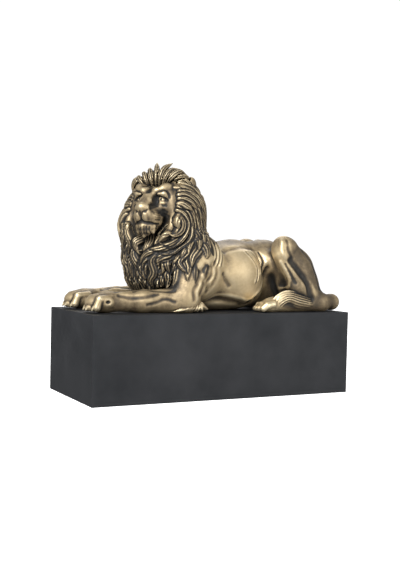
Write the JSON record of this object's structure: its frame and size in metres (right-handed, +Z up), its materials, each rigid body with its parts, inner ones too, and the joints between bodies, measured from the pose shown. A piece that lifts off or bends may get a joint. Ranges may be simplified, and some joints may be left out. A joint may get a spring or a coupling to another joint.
{
  "type": "reclining lion figurine",
  "caption": "Reclining lion with a turned head and a carved mane, cast in one piece with an antique bronze look, lying on a plain black rectangular plinth.",
  "frame": {"origin": "middle of the plinth's underside", "axes": "+Z up; the lion lies along X with its paws towards -X and its tail towards +X; its head is turned towards -Y, where the viewer stands"},
  "size_m": [0.255, 0.11, 0.21],
  "materials": {
    "lion_bronze": "antique bronze look on cold-cast resin: near-black wash in the recesses, pale gold rubbed on the ridges, satin",
    "plinth_black": "satin black paint"
  },
  "bodies": {
    "root": {"lion": "lion_bronze", "plinth": "plinth_black"}
  },
  "joints": []
}
